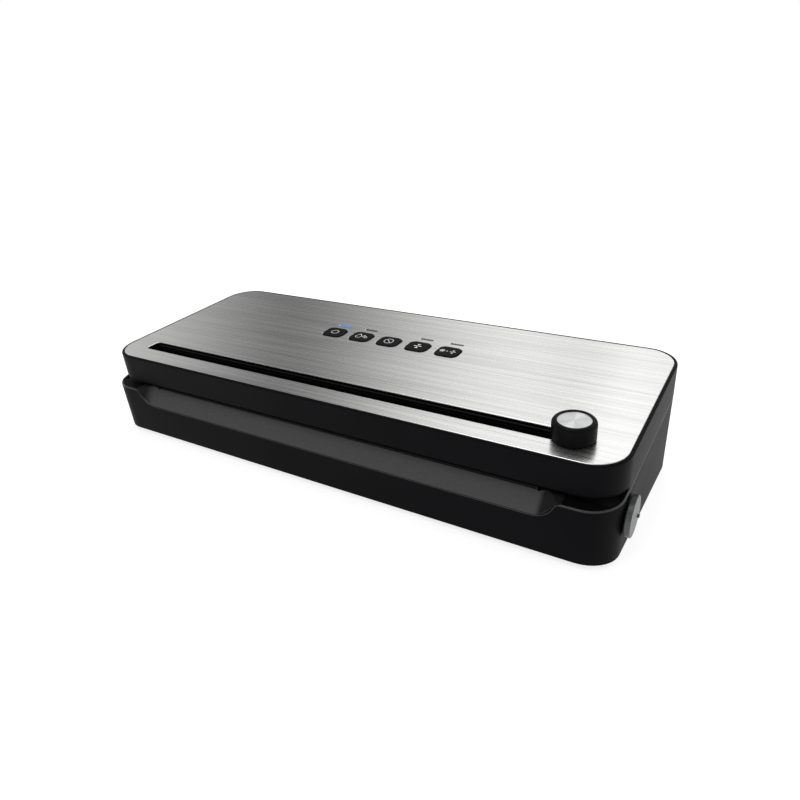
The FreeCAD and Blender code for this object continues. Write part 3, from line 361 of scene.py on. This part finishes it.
def litLens():
    # diffusing acrylic over a blue lamp, slightly cloudy
    lens = {"cloudMm": 4, "detail": 2.0, "dark": "#2470c4", "light": "#3e92e4"}
    finish, tree, surface = newFinish("litBlueAcrylic", Roughness=0.35, Emission_Strength=0.4)
    cloud = noise(tree, objectPlace(tree), lens["cloudMm"], lens["detail"])
    shade = shadeBetween(tree, cloud, lens["dark"], lens["light"])
    wire(tree, surface, Base_Color=shade, Emission_Color=shade)
    return finish


def whiteInk():
    # pad-printed white ink: matt, slightly thin in places
    printed = {"thinMm": 0.6, "detail": 3.0, "dark": "#d6d6d6", "light": "#f2f2f2"}
    finish, tree, surface = newFinish("padPrintedInk", Roughness=0.6)
    thin = noise(tree, objectPlace(tree), printed["thinMm"], printed["detail"])
    wire(tree, surface, Base_Color=shadeBetween(tree, thin, printed["dark"], printed["light"]))
    return finish


def rampDeckWithPaintedShade():
    # grained black ABS, pale grey along the open ramp where bags slide in, and black behind its crest and at its
    # ends: painted shade where the lid's overhang and the recessed ends shade the deck
    ramp = {"left": -0.154, "leftFade": 0.006, "right": 0.152, "rightFade": 0.003,
            "crest": -0.0722, "crestFade": 0.001}
    grained = {"sizeMm": 0.9, "detail": 3.0, "black": "#1a191b", "openRamp": ("#3f3f3f", "#525252"),
               "gloss": (0.6, 0.74), "relief": 0.3, "reliefMm": 0.05}
    finish, tree, surface = newFinish("rampAbsWithPaintedShade", Specular_IOR_Level=0.15)
    place = objectPlace(tree)
    level = addNode(tree, "ShaderNodeMapping", {
        "Vector": place, "Location": Vector(plateTilt["offsetMm"]) * mm,
        "Rotation": (math.radians(plateTilt["degrees"]), 0, 0)}, vector_type="TEXTURE")
    ways = addNode(tree, "ShaderNodeSeparateXYZ", {0: level.outputs[0]})
    left = remap(tree, ways.outputs["X"], fromRange=(ramp["left"] - ramp["leftFade"], ramp["left"]))
    right = remap(tree, ways.outputs["X"], fromRange=(ramp["right"] + ramp["rightFade"], ramp["right"]))
    front = remap(tree, ways.outputs["Y"], fromRange=(ramp["crest"] + ramp["crestFade"], ramp["crest"]))
    # 1 on the open ramp, 0 past its ends and behind its crest, where the black stands in as painted shade
    openRamp = combine(tree, combine(tree, left, right, "MULTIPLY"), front, "MULTIPLY")
    grain = noise(tree, place, grained["sizeMm"], grained["detail"])
    pale = shadeBetween(tree, grain, *grained["openRamp"])
    wire(tree, surface, Base_Color=shadeBetween(tree, openRamp, grained["black"], pale),
         Roughness=remap(tree, grain, toRange=grained["gloss"]),
         Normal=relief(tree, grain, grained["relief"], grained["reliefMm"]))
    return finish


deckAbs = rampDeckWithPaintedShade()
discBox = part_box("knob_disc")
discAluminium = spunAluminium((discBox[0] + discBox[1]) / 2)
plateSteel = brushedStainless()
tapeCloth = coatedTape()
boardGreen = circuitBoard()
blueLens = litLens()
ink = whiteInk()

# Every CAD node's finish. The ones that get an eased copy below hand it on.
finishes = {
    "base_housing": housingAbs, "bottom_cover": housingAbs, "lower_deck": deckAbs, "mains_inlet": hookAbs,
    "lid_shell": lidAbs, "lid_panel": innerAbs, "top_plate": plateSteel, "cutter_track": trackAbs,
    "cutter_knob": knobAbs, "knob_disc": discAluminium, "cutter_carriage": hookAbs, "cutter_blade": bladeSteel,
    "power_button": buttonAbs, "moisture_button": buttonAbs, "stop_button": buttonAbs,
    "seal_button": buttonAbs, "vacuum_button": buttonAbs, "power_light": blueLens, "mode_lights": smokedLens,
    "lock_knob": lockPaint, "lock_shaft": shaftSteel, "lock_claws": hookAbs, "lock_switches": hookAbs,
    "lid_hooks": hookAbs, "press_rubber": sealRubber, "upper_gasket": gasketFoam, "lower_gasket": gasketFoam,
    "seal_bar": barAluminium, "heating_strip": stripNichrome, "seal_tape": tapeCloth,
    "suction_nozzle": hookAbs, "suction_hose": hoseSilicone, "pump_head": pumpAbs, "pump_motor": motorSteel,
    "pump_bracket": hookAbs, "transformer_core": coreIron, "transformer_coil": coilTape,
    "control_board": boardGreen, "main_board": boardGreen, "main_standoffs": pumpAbs,
    "board_components": hookAbs, "tact_switches": hookAbs, "rubber_feet": footRubber,
    "hinge_pins": shaftSteel, "inlet_prongs": prongBrass, "board_screws": screwSteel,
    "panel_screws": screwSteel, "deck_screws": screwSteel, "cover_screws": screwSteel,
}
for name, finish in finishes.items():
    nodes[name].data.materials.clear()
    nodes[name].data.materials.append(finish)
print("finishes on", len(finishes), "of", len(nodes), "nodes")

# What counts as one corner, a flat face, a hard edge and a rim's slope, and how far a rounding may reach
easeRules = {"mergeMm": 0.002, "flatDegrees": 0.5, "sharpDegrees": 30, "rimSlope": (0.1, 0.99), "reach": 2}


def easedCopy(node, name, roundMm, steps=2, lowest=None, rim=None):
    # A merged copy of a CAD node with its hard edges rounded, as a mould or a press leaves them. With lowest, in mm
    # in the plate's frame, only the edges above it are rounded. With rim, its finish goes on the rounded edges above
    # its own lowest, and on the faces that slope above its round.
    pick(nodes[node])
    bpy.ops.object.duplicate()
    piece = bpy.context.object
    piece.name = piece.data.name = name
    del piece["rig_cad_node"]
    bpy.ops.mesh.customdata_custom_splitnormals_clear()
    bpy.ops.object.mode_set(mode="EDIT")
    bpy.ops.mesh.select_all(action="SELECT")
    bpy.ops.mesh.remove_doubles(threshold=easeRules["mergeMm"] * mm)
    bpy.ops.mesh.dissolve_limited(angle_limit=math.radians(easeRules["flatDegrees"]))
    bpy.ops.object.mode_set(mode="OBJECT")
    sharp = math.radians(easeRules["sharpDegrees"])
    bpy.ops.object.shade_smooth_by_angle(angle=sharp)
    upright = plateFrame.inverted()
    ease = piece.modifiers.new("easedEdges", "BEVEL")
    ease.width = roundMm * mm
    ease.segments = steps
    ease.limit_method = "ANGLE"
    ease.angle_limit = sharp
    ease.use_clamp_overlap = False
    ease.harden_normals = True  # so that the flat faces stay flat
    if lowest is not None:
        ease.limit_method = "WEIGHT"
        hard = piece.data.attributes["sharp_edge"]
        weight = piece.data.attributes.new("bevel_weight_edge", "FLOAT", "EDGE")
        for edge in piece.data.edges:
            high = min((upright @ piece.data.vertices[v].co).z for v in edge.vertices) > lowest * mm
            weight.data[edge.index].value = float(high and hard.data[edge.index].value)
    if rim:
        piece.data.materials.append(rim["finish"])
        ease.material = 1
    bpy.ops.object.modifier_apply(modifier=ease.name)
    if rim:
        # the rounded edges and the up-sloping faces near the rim's top take the lighter rim finish: a painted
        # highlight where they catch the light
        shallow, steep = easeRules["rimSlope"]
        for face in piece.data.polygons:
            height, slope = (upright @ face.center).z / mm, (upright.to_3x3() @ face.normal).z
            if height < rim["lowest"]:
                face.material_index = 0
            elif height > rim["round"] and shallow < slope < steep:
                face.material_index = 1
    for vertex in piece.data.vertices:  # a bevel end that shot past its corner goes back onto the CAD face
        spot = nodes[node].closest_point_on_mesh(vertex.co)[1]
        if (spot - vertex.co).length > easeRules["reach"] * roundMm * mm:
            vertex.co = spot
    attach(piece, bodyOf[node])
    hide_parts(node)
    return piece


easing = {
    "base_housing": {"name": "baseHousing", "roundMm": 0.35,
                     "rim": {"lowest": -37, "round": -24.4, "finish": rimPaintedHighlightAbs}},
    "top_plate": {"name": "steelPlate", "roundMm": 0.55, "steps": 4, "lowest": -0.05},
    "lid_shell": {"name": "lidShell", "roundMm": 0.25},
    "lower_deck": {"name": "lowerDeck", "roundMm": 0.35},
    "bottom_cover": {"name": "bottomCover", "roundMm": 0.3},
    "mains_inlet": {"name": "mainsInlet", "roundMm": 0.3},
}
eased = {}
for node, settings in easing.items():
    eased[node] = easedCopy(node, **settings)
    print("eased", settings["name"], len(eased[node].data.polygons), "faces")

# The plate's UV runs along the brushing
plateUv = {"cubeSize": 0.1}
pick(eased["top_plate"])
bpy.ops.object.mode_set(mode="EDIT")
bpy.ops.mesh.select_all(action="SELECT")
bpy.ops.uv.cube_project(cube_size=plateUv["cubeSize"])
bpy.ops.object.mode_set(mode="OBJECT")

# Pan heads with a cross recess, cut into merged copies of the screws. Heads look along Z of the frame they stand in.
crossRecess = {"length": 3.2, "width": 0.75, "depth": 1.0, "spacing": 12, "roundMm": 0.12}
crossedScrews = {
    "cover_screws": {"name": "coverScrews", "turn": Matrix.Identity(4), "up": -1},
    "deck_screws": {"name": "deckScrews", "turn": plateFrame, "up": 1},
    "panel_screws": {"name": "panelScrews", "turn": plateFrame, "up": -1},
}
for node, kind in crossedScrews.items():
    turn, up = kind["turn"], kind["up"]
    screws = easedCopy(node, kind["name"], crossRecess["roundMm"])
    heads = []
    for vertex in screws.data.vertices:
        spot = turn.inverted() @ vertex.co
        for head in heads:
            if (head[0] - spot).to_2d().length < crossRecess["spacing"] * mm:
                head.append(spot)
                break
        else:
            heads.append([spot])
    bars = []
    for head in heads:
        xs, ys = [p.x for p in head], [p.y for p in head]
        top = max(p.z * up for p in head) * up
        for degrees in (0, 90):
            bpy.ops.object.select_all(action="DESELECT")
            bpy.ops.mesh.primitive_cube_add(
                size=mm, location=((min(xs) + max(xs)) / 2, (min(ys) + max(ys)) / 2, top),
                rotation=(0, 0, math.radians(degrees)),
                scale=(crossRecess["length"], crossRecess["width"], 2 * crossRecess["depth"]))
            bars.append(bpy.context.object)
    bpy.ops.object.select_all(action="DESELECT")
    for bar in bars:
        bar.select_set(True)
    bpy.ops.object.transform_apply(location=True, rotation=True, scale=True)
    bpy.ops.object.join()
    cutter = bpy.context.object
    cutter.matrix_world = turn
    pick(screws)
    recess = screws.modifiers.new("crossRecess", "BOOLEAN")
    recess.object = cutter
    recess.solver = "EXACT"
    recess.use_self = True
    bpy.ops.object.modifier_apply(modifier=recess.name)
    bpy.data.objects.remove(cutter)
    print("recessed", len(heads), "heads on", kind["name"])

# Ink on the buttons, drawn flat in mm about each button's middle
printing = {"row": 19.5, "pitch": 24.5, "top": 0.7, "inkMm": 0.03, "stroke": 0.46, "fineStroke": 0.42,
            "ringCorners": 40, "dotCorners": 12, "tipNarrowing": 0.55, "tipRise": 0.65}
sealSign = {"line": 4.2, "stroke": 0.5, "headPlace": 1.6, "head": 1.1}
fanSign = {"line": 3.6, "stroke": 0.6, "angles": (0, 60, 120)}


def addRing(x, y, radius, stroke):
    bpy.ops.mesh.primitive_circle_add(vertices=printing["ringCorners"], radius=radius * mm,
                                      location=(x * mm, y * mm, 0))
    ring = bpy.context.object
    bpy.ops.object.mode_set(mode="EDIT")
    bpy.ops.mesh.select_all(action="SELECT")
    inner = 1 - stroke / radius
    bpy.ops.mesh.extrude_edges_move()
    bpy.ops.transform.resize(value=(inner, inner, 1), center_override=(x * mm, y * mm, 0))
    bpy.ops.object.mode_set(mode="OBJECT")
    return ring


def addDrop(x, y, radius, stroke):
    drop = addRing(x, y, radius, stroke)
    for vertex in drop.data.vertices:  # the upper points are drawn together into the tip
        rise = max(0.0, vertex.co.y) / (radius * mm)
        vertex.co.x *= 1 - printing["tipNarrowing"] * rise * rise
        vertex.co.y *= 1 + printing["tipRise"] * rise * rise
    return drop


def addStroke(x, y, length, stroke, degrees):
    bpy.ops.mesh.primitive_plane_add(size=1, location=(x * mm, y * mm, 0))
    line = bpy.context.object
    bpy.ops.object.mode_set(mode="EDIT")
    bpy.ops.mesh.select_all(action="SELECT")
    bpy.ops.transform.resize(value=(length * mm, stroke * mm, 1), center_override=(x * mm, y * mm, 0))
    bpy.ops.object.mode_set(mode="OBJECT")
    line.rotation_euler.z = math.radians(degrees)
    return line


def addPoint(x, y, radius, corners, degrees=0):
    bpy.ops.mesh.primitive_circle_add(vertices=corners, radius=radius * mm, fill_type="NGON",
                                      location=(x * mm, y * mm, 0), rotation=(0, 0, math.radians(degrees)))
    return bpy.context.object


def sealMark(x, size):
    # two arrowheads that press on a line
    line, stroke, place, head = [sealSign[key] * size for key in ("line", "stroke", "headPlace", "head")]
    return [(addStroke, (x, 0, line, stroke, 0)), (addPoint, (x, place, head, 3, 180)),
            (addPoint, (x, -place, head, 3, 0))]


def fanMark(x, size):
    # three crossed blades
    return [(addStroke, (x, 0, fanSign["line"] * size, fanSign["stroke"] * size, angle))
            for angle in fanSign["angles"]]


pen, finePen = printing["stroke"], printing["fineStroke"]
marks = {
    "power_button": {"name": "powerMark", "number": -2, "shapes": [(addRing, (0, 0, 3.1, pen))]},
    "moisture_button": {"name": "moistureMark", "number": -1, "shapes": [
        (addDrop, (-2.3, -0.4, 2.6, pen)), (addDrop, (1.9, 0.5, 1.4, finePen)),
        (addDrop, (4.1, -0.9, 1.25, finePen))]},
    "stop_button": {"name": "stopMark", "number": 0, "shapes": [
        (addRing, (0, 0, 3.8, pen)), (addStroke, (0, 0, 6.8, pen, -45))]},
    "seal_button": {"name": "sealMark", "number": 1, "shapes": sealMark(0, 1.5)},
    "vacuum_button": {"name": "vacuumMark", "number": 2, "shapes": [
        *fanMark(-4.4, 1.2), (addPoint, (-0.6, 0, 0.55, printing["dotCorners"])), *sealMark(3.8, 1.1)]},
}
for node, design in marks.items():
    drawn = []
    for shape, sizes in design["shapes"]:
        bpy.ops.object.select_all(action="DESELECT")
        drawn.append(shape(*sizes))
    bpy.ops.object.select_all(action="DESELECT")
    for piece in drawn:
        piece.select_set(True)
    bpy.context.view_layer.objects.active = drawn[0]
    bpy.ops.object.transform_apply(location=True, rotation=True, scale=True)
    if len(drawn) > 1:
        bpy.ops.object.join()
    mark = bpy.context.object
    mark.name = mark.data.name = design["name"]
    pick(mark)
    bpy.ops.object.mode_set(mode="EDIT")
    bpy.ops.mesh.select_all(action="SELECT")
    bpy.ops.mesh.normals_make_consistent(inside=False)
    bpy.ops.object.mode_set(mode="OBJECT")
    layer = mark.modifiers.new("inkLayer", "SOLIDIFY")
    layer.thickness = printing["inkMm"] * mm
    layer.offset = 1 if mark.data.polygons[0].normal.z > 0 else -1
    bpy.ops.object.modifier_apply(modifier=layer.name)
    place = Vector((design["number"] * printing["pitch"], printing["row"], printing["top"])) * mm
    mark.matrix_world = plateFrame @ Matrix.Translation(place)
    bpy.ops.object.transform_apply(location=True, rotation=True, scale=True)
    mark.data.materials.append(ink)
    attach(mark, bodyOf[node])
print("button marks printed")
